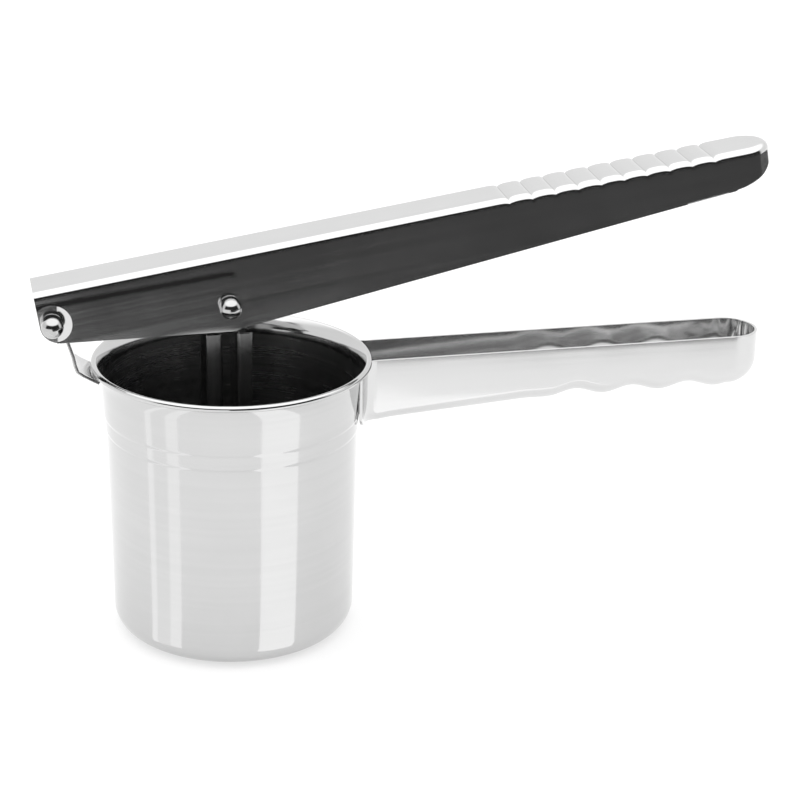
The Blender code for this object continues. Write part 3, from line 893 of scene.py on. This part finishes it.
def stem_row(x, z, side):
    """One row across the stem: flange, web and flange. The flanges point away from the rivet."""
    bend = STEM_FLANGE_BEND_R
    steps = 5
    left = [(x + side * STEM_FLANGE, -STEM_HALF_WIDTH, z)]
    for i in range(steps + 1):
        turn = math.radians(90.0 * i / steps)
        back = bend * (1.0 - math.sin(turn))
        across = bend * (1.0 - math.cos(turn))
        left.append((x + side * back, -STEM_HALF_WIDTH + across, z))
    right = [(point_x, -y, point_z) for point_x, y, point_z in reversed(left)]
    return left + [(x, 0.0, z)] + right


def make_plunger_strap(material):
    path = stem_path()
    rows = []
    for x, z in path:
        side = -1.0 if x < PLUNGER_PIN.x else 1.0
        rows.append(stem_row(x, z, side))
    middle = len(rows[0]) // 2

    def flanged(z):
        return STEM_FLANGE_FOOT_Z - WELD < z < STEM_FLANGE_TOP_Z + WELD

    def keep(i, j):
        on_web = middle - 1 <= j <= middle
        return on_web or (flanged(path[i][1]) and flanged(path[i + 1][1]))

    strap = new_object("plunger_strap_bent", grid_mesh("plunger_strap_bent", rows, keep), material)
    add_sheet(strap, STEM_SHEET, 0.0)
    add_edge_round(strap, STRAP_EDGE_ROUND)
    bake_modifiers(strap)
    even_shading(strap)
    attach(strap, "plunger")
    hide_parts("plunger_strap")


def make_plunger_disc(material):
    corner = DISC_R - DISC_CORNER_R
    points = [(DISC_R, DISC_RIM_HEIGHT)]
    points += arc(corner, DISC_CORNER_R, DISC_CORNER_R, 0.0, -90.0, 16) + [(0.0, 0.0)]
    disc = new_object("plunger_disc_drawn", profile_mesh("plunger_disc_drawn", points), material)
    add_screw(disc, CUP_SEGMENTS)
    add_sheet(disc, DISC_SHEET)
    add_edge_round(disc, EDGE_ROUND)
    bake_modifiers(disc)
    disc.data.transform(Matrix.Translation((DISC_X, 0.0, DISC_BOTTOM_Z)))
    even_shading(disc)
    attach(disc, "plunger")
    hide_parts("plunger_disc")


# The stage


def make_floor():
    """A white floor that is partly lit from within, so that shadows on it stay faint."""
    size = FLOOR_SIZE
    mesh = bpy.data.meshes.new("floor")
    corners = [(-size, -size, 0.0), (size, -size, 0.0), (size, size, 0.0), (-size, size, 0.0)]
    mesh.from_pydata(corners, [], [(0, 1, 2, 3)])
    material, nodes, _ = new_material("pale_floor")
    shader = nodes["Principled BSDF"]
    shader.inputs["Base Color"].default_value = (FLOOR_ALBEDO, FLOOR_ALBEDO, FLOOR_ALBEDO, 1.0)
    shader.inputs["Roughness"].default_value = 0.7
    shader.inputs["Specular IOR Level"].default_value = 0.0
    shader.inputs["Emission Color"].default_value = (1.0, 1.0, 1.0, 1.0)
    shader.inputs["Emission Strength"].default_value = FLOOR_GLOW
    floor = new_object("floor", mesh, material)
    floor.location.z = -FLOOR_DROP


def make_card(name, corners, strength):
    """A card on the floor that only shows in the steel's reflections."""
    mesh = bpy.data.meshes.new(name)
    mesh.from_pydata([(x, y, CARD_HEIGHT) for x, y in corners], [], [tuple(range(len(corners)))])
    card = new_object(name, mesh, glow(name, strength))
    card.visible_camera = False
    card.visible_diffuse = False
    card.visible_shadow = False
    card.visible_transmission = False


def strip_corners(start_deg, end_deg):
    """Corners of a strip of floor whose mirror image in the cup's wall stands upright."""
    corners = []
    for wall_deg, distance in (
        (start_deg, STRIP_NEAR),
        (end_deg, STRIP_NEAR),
        (end_deg, STRIP_FAR),
        (start_deg, STRIP_FAR),
    ):
        on_wall = math.radians(wall_deg) + CAMERA_AZIMUTH
        away = 2.0 * math.radians(wall_deg) + CAMERA_AZIMUTH
        x = STEP_FOOT_R * math.sin(on_wall) + distance * math.sin(away)
        y = -STEP_FOOT_R * math.cos(on_wall) - distance * math.cos(away)
        corners.append((x, y))
    return corners


def make_cards():
    near = DARK_NEAR_Y
    far = DARK_FAR_Y
    make_card("dark_card", [(-0.045, near), (1.2, near), (2.5, far), (-0.12, far)], 0.065)
    far_dark = [(-0.12, far), (2.5, far), (9.0, -1.6), (9.0, -9.0), (-1.7, -9.0)]
    make_card("far_dark_card", far_dark, 0.025)
    beside = near + 0.001
    make_card("end_dark_card", [(0.5, beside), (1.6, beside), (1.6, 0.5), (0.5, 0.5)], 0.12)
    for name, (start_deg, end_deg, strength) in STRIPS.items():
        make_card(name, strip_corners(start_deg, end_deg), strength)


def soft_step(tree, value, start, end, low=0.0, high=1.0):
    """A node's output that goes softly from low to high while value goes from start to end."""
    ramp = tree.nodes.new("ShaderNodeMapRange")
    ramp.interpolation_type = "SMOOTHSTEP"
    ramp.inputs["From Min"].default_value = start
    ramp.inputs["From Max"].default_value = end
    ramp.inputs["To Min"].default_value = low
    ramp.inputs["To Max"].default_value = high
    tree.links.new(value, ramp.inputs["Value"])
    return ramp.outputs["Result"]


def blend_to(tree, share, value, other):
    """A node's output that goes from value to the number other with share."""
    blend = tree.nodes.new("ShaderNodeMix")
    blend.data_type = "FLOAT"
    blend.inputs["B"].default_value = other
    tree.links.new(share, blend.inputs["Factor"])
    tree.links.new(value, blend.inputs["A"])
    return blend.outputs["Result"]


def make_world():
    """A white studio: bright overhead, softer behind, and dark low down in front."""
    world = bpy.data.worlds.new("studio")
    bpy.context.scene.world = world
    world.use_nodes = True
    tree = world.node_tree
    background = tree.nodes["Background"]
    background.inputs["Color"].default_value = (1.0, 1.0, 1.0, 1.0)
    place = tree.nodes.new("ShaderNodeTexCoord")
    direction = tree.nodes.new("ShaderNodeSeparateXYZ")
    tree.links.new(place.outputs["Generated"], direction.inputs["Vector"])

    height = direction.outputs["Z"]
    overhead = soft_step(tree, height, 0.45, 0.75, WORLD_WHITE, WORLD_BRIGHT)
    in_front = soft_step(tree, direction.outputs["Y"], -0.15, -0.4)
    low = soft_step(tree, height, 0.6, 0.52)
    low_in_front = tree.nodes.new("ShaderNodeMath")
    low_in_front.operation = "MULTIPLY"
    tree.links.new(in_front, low_in_front.inputs[0])
    tree.links.new(low, low_in_front.inputs[1])

    bright = blend_to(tree, in_front, overhead, WORLD_BRIGHT)
    strength = blend_to(tree, low_in_front.outputs["Value"], bright, WORLD_DARK)
    tree.links.new(strength, background.inputs["Strength"])


def make_camera():
    """The camera, turned a little about its own axis."""
    sin_a = math.sin(CAMERA_AZIMUTH)
    cos_a = math.cos(CAMERA_AZIMUTH)
    sin_e = math.sin(CAMERA_ELEVATION)
    cos_e = math.cos(CAMERA_ELEVATION)
    back = Vector((sin_a * cos_e, -cos_a * cos_e, sin_e))
    right = Vector((cos_a, sin_a, 0.0))
    up = back.cross(right)
    rolled_right = math.cos(CAMERA_ROLL) * right + math.sin(CAMERA_ROLL) * up
    rolled_up = math.cos(CAMERA_ROLL) * up - math.sin(CAMERA_ROLL) * right
    data = bpy.data.cameras.new("camera")
    data.lens = CAMERA_LENS
    data.sensor_width = 36.0
    data.clip_start = 0.01
    data.clip_end = 100.0
    camera = bpy.data.objects.new("camera", data)
    bpy.context.scene.collection.objects.link(camera)
    axes = Matrix((rolled_right, rolled_up, back)).transposed().to_4x4()
    camera.matrix_world = Matrix.Translation(CAMERA_TARGET + back * CAMERA_DISTANCE) @ axes
    bpy.context.scene.camera = camera


def make_light():
    """One broad soft light overhead, which keeps the floor white."""
    data = bpy.data.lights.new("softbox", "AREA")
    data.shape = "RECTANGLE"
    data.size = 2.4
    data.size_y = 1.6
    data.energy = 4.0
    light = bpy.data.objects.new("softbox", data)
    bpy.context.scene.collection.objects.link(light)
    light.location = (0.1, 0.2, 2.0)
    light.visible_camera = False
    light.visible_glossy = False


def main():
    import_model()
    make_camera()
    outside = steel("cup_outside", grey(0.6), (0.07, 0.12), (6.0, 6.0, 500.0))
    # The inside's darker grey (0.42 against the outside's 0.6) is painted shade of the cup's hollow; its
    # higher roughness and fine streaks are its satin finish.
    inside = steel("cup_inside_painted_shade", grey(0.42), (0.2, 0.3), (10.0, 10.0, 1400.0), streak_depth=0.00015 * MM)
    handle = steel("handle_outside", grey(0.68), (0.08, 0.13), (8.0, 500.0, 500.0))
    lever = steel("lever_polish", grey(0.66), (0.08, 0.15), (8.0, 700.0, 700.0), tilt=LEVER_TILT)
    strap = steel("strap_polish", grey(0.64), (0.1, 0.16), (300.0, 20.0, 300.0))
    rivet = steel("rivet_polish", grey(0.52), (0.1, 0.18), (300.0, 300.0, 300.0), wobble=0.001 * MM)
    # The plunger's darker grey than the other steel pieces is painted shade of the cup and lever around
    # it; its higher roughness is its duller finish.
    plunger = steel("plunger_polish_painted_shade", grey(0.42), (0.16, 0.24), (500.0, 500.0, 12.0))
    room = cup_room()
    make_cup(outside, inside)
    make_lower_handle(handle, room)
    make_hinge_strap(strap, room)
    make_lever(lever)
    seat = LEVER_HALF_WIDTH + PANEL_RISE + FIT
    make_rivet("pivot_rivet_domed", "pivot_rivet", PIVOT, seat - DIMPLE_DEPTH, rivet)
    make_rivet("plunger_rivet_domed", "plunger_rivet", PLUNGER_PIN, seat, rivet)
    make_plunger_strap(plunger)
    make_plunger_disc(plunger)
    discard(room)
    make_floor()
    make_cards()
    make_world()
    make_light()
    bpy.context.scene.view_settings.view_transform = "Standard"


main()
